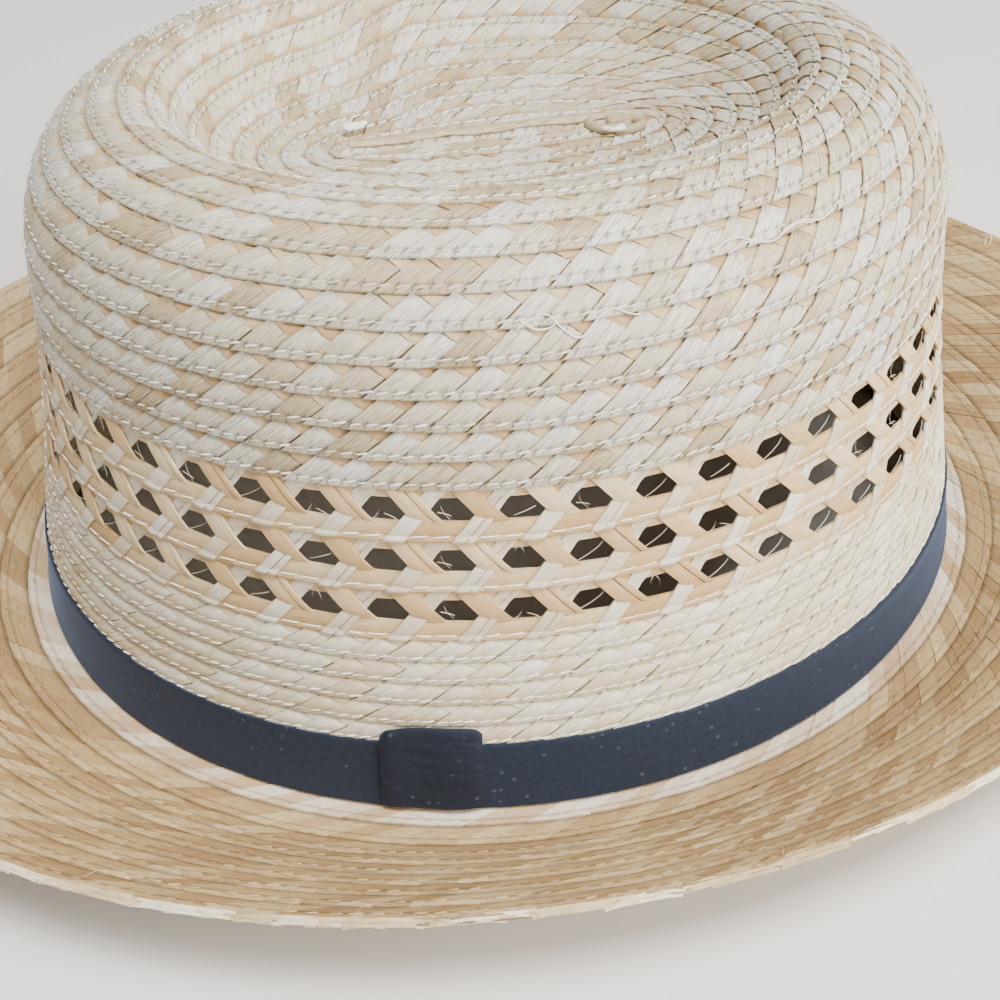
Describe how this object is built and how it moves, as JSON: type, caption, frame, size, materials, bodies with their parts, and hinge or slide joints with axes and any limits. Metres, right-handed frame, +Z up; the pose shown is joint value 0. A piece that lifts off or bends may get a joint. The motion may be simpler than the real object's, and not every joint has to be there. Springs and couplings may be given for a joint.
{
  "type": "straw pork pie hat",
  "caption": "Plaited straw hat with a sunken oval top, an openwork band round the crown, a rolled-up brim and a narrow dark ribbon under a folded keeper.",
  "frame": {"origin": "on the surface the hat rests on, below the middle of the head opening", "axes": "+Z up, +X along the length of the head, -Y towards the side with the ribbon's keeper"},
  "size_m": [0.312, 0.246, 0.1045],
  "materials": {
    "straw_dense": "silvery cream plaited straw, satin",
    "straw_openwork": "peach straw strands, satin",
    "straw_fine": "ivory fine plait, satin",
    "straw_brim": "tan fine plait, matte",
    "ribbon_cloth": "ribbed dark navy ribbon, matte",
    "keeper_cloth": "ribbed dark ribbon, matte"
  },
  "bodies": {
    "root": {"crown_tip": "straw_dense", "crown_wall": "straw_dense", "openwork_band": "straw_openwork", "crown_base": "straw_fine", "brim": "straw_brim", "ribbon": "ribbon_cloth", "ribbon_keeper": "keeper_cloth"}
  },
  "joints": []
}
